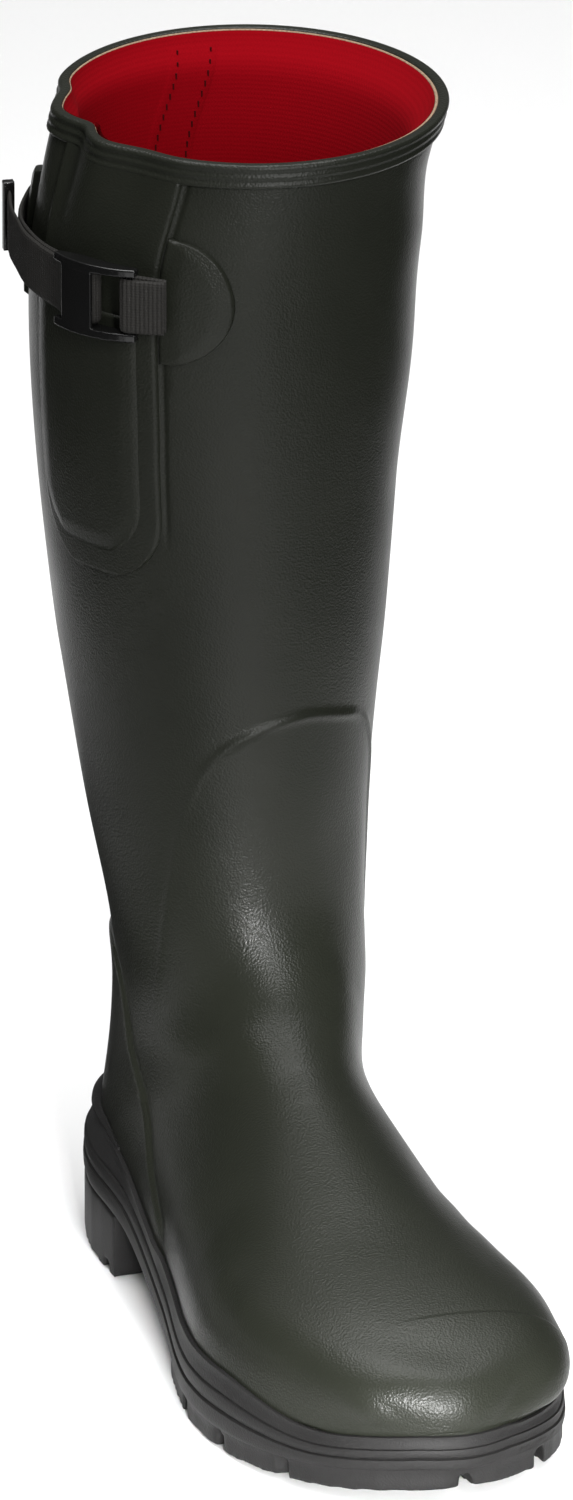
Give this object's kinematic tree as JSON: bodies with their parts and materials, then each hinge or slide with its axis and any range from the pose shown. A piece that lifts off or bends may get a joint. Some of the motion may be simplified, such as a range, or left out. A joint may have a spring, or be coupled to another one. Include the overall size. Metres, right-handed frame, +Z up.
{
  "type": "insulated hunting boot",
  "caption": "Tall dark olive rubber hunting boot for the right foot, with a neoprene layer, a red knit lining, a buckled bellows gusset and a lugged sole.",
  "frame": {"origin": "on the ground under the middle of the heel", "axes": "+Z up the leg, -Y towards the toe, +X towards the inner side of the leg"},
  "size_m": [0.1558, 0.3497, 0.43],
  "materials": {
    "green_rubber": "satin, fine pebble grain",
    "sole_rubber": "matt, moulded",
    "webbing": "ribbed woven",
    "buckle_plastic": "glossy",
    "red_jersey": "knitted",
    "neoprene": "cut foam edge",
    "fibreboard": "matt",
    "midsole_foam": "matt",
    "cushion_foam": "matt",
    "shank_steel": "brushed",
    "rivet_metal": "satin"
  },
  "bodies": {
    "boot": {"leg_shell": "green_rubber", "foot_shell": "green_rubber", "rim_band": "green_rubber", "gusset_panel": "green_rubber", "gusset_pad": "green_rubber", "front_strap_tab": "green_rubber", "rear_strap_tab": "green_rubber", "shin_panel": "green_rubber", "heel_counter": "green_rubber", "back_stay": "green_rubber", "toe_cap": "green_rubber", "outsole": "sole_rubber", "heel_block": "sole_rubber", "rand": "sole_rubber", "kick_spur": "sole_rubber", "front_webbing": "webbing", "strap_run": "webbing", "neoprene_bootie": "neoprene", "lining_sock": "red_jersey", "lining_tape_front": "red_jersey", "lining_tape_rear": "red_jersey", "footbed": "red_jersey", "heel_stiffener": "fibreboard", "toe_puff": "fibreboard", "insole_board": "fibreboard", "midsole": "midsole_foam", "heel_cushion": "cushion_foam", "shank": "shank_steel", "rear_tab_rivet": "rivet_metal"},
    "buckle": {"buckle_frame": "buckle_plastic", "strap_turn": "webbing"},
    "strap_tail": {"strap_tail": "webbing"},
    "strap_tip": {"strap_tip": "webbing", "strap_end_stop": "buckle_plastic"}
  },
  "joints": [
    {"name": "buckle_tilt", "type": "hinge", "parent": "boot", "child": "buckle", "pos_m": [-0.03991, -0.04832, 0.379], "axis": [0, 0, 1], "range_deg": [0, 20]},
    {"name": "strap_pull", "type": "hinge", "parent": "buckle", "child": "strap_tail", "pos_m": [0.0206, 0.005, 0.379], "axis": [0, 0, -1], "range_deg": [0, 10]},
    {"name": "tip_swing", "type": "hinge", "parent": "strap_tail", "child": "strap_tip", "pos_m": [-0.05659, 0.02236, 0.379], "axis": [0, 0, 1], "range_deg": [-2, 25]}
  ]
}
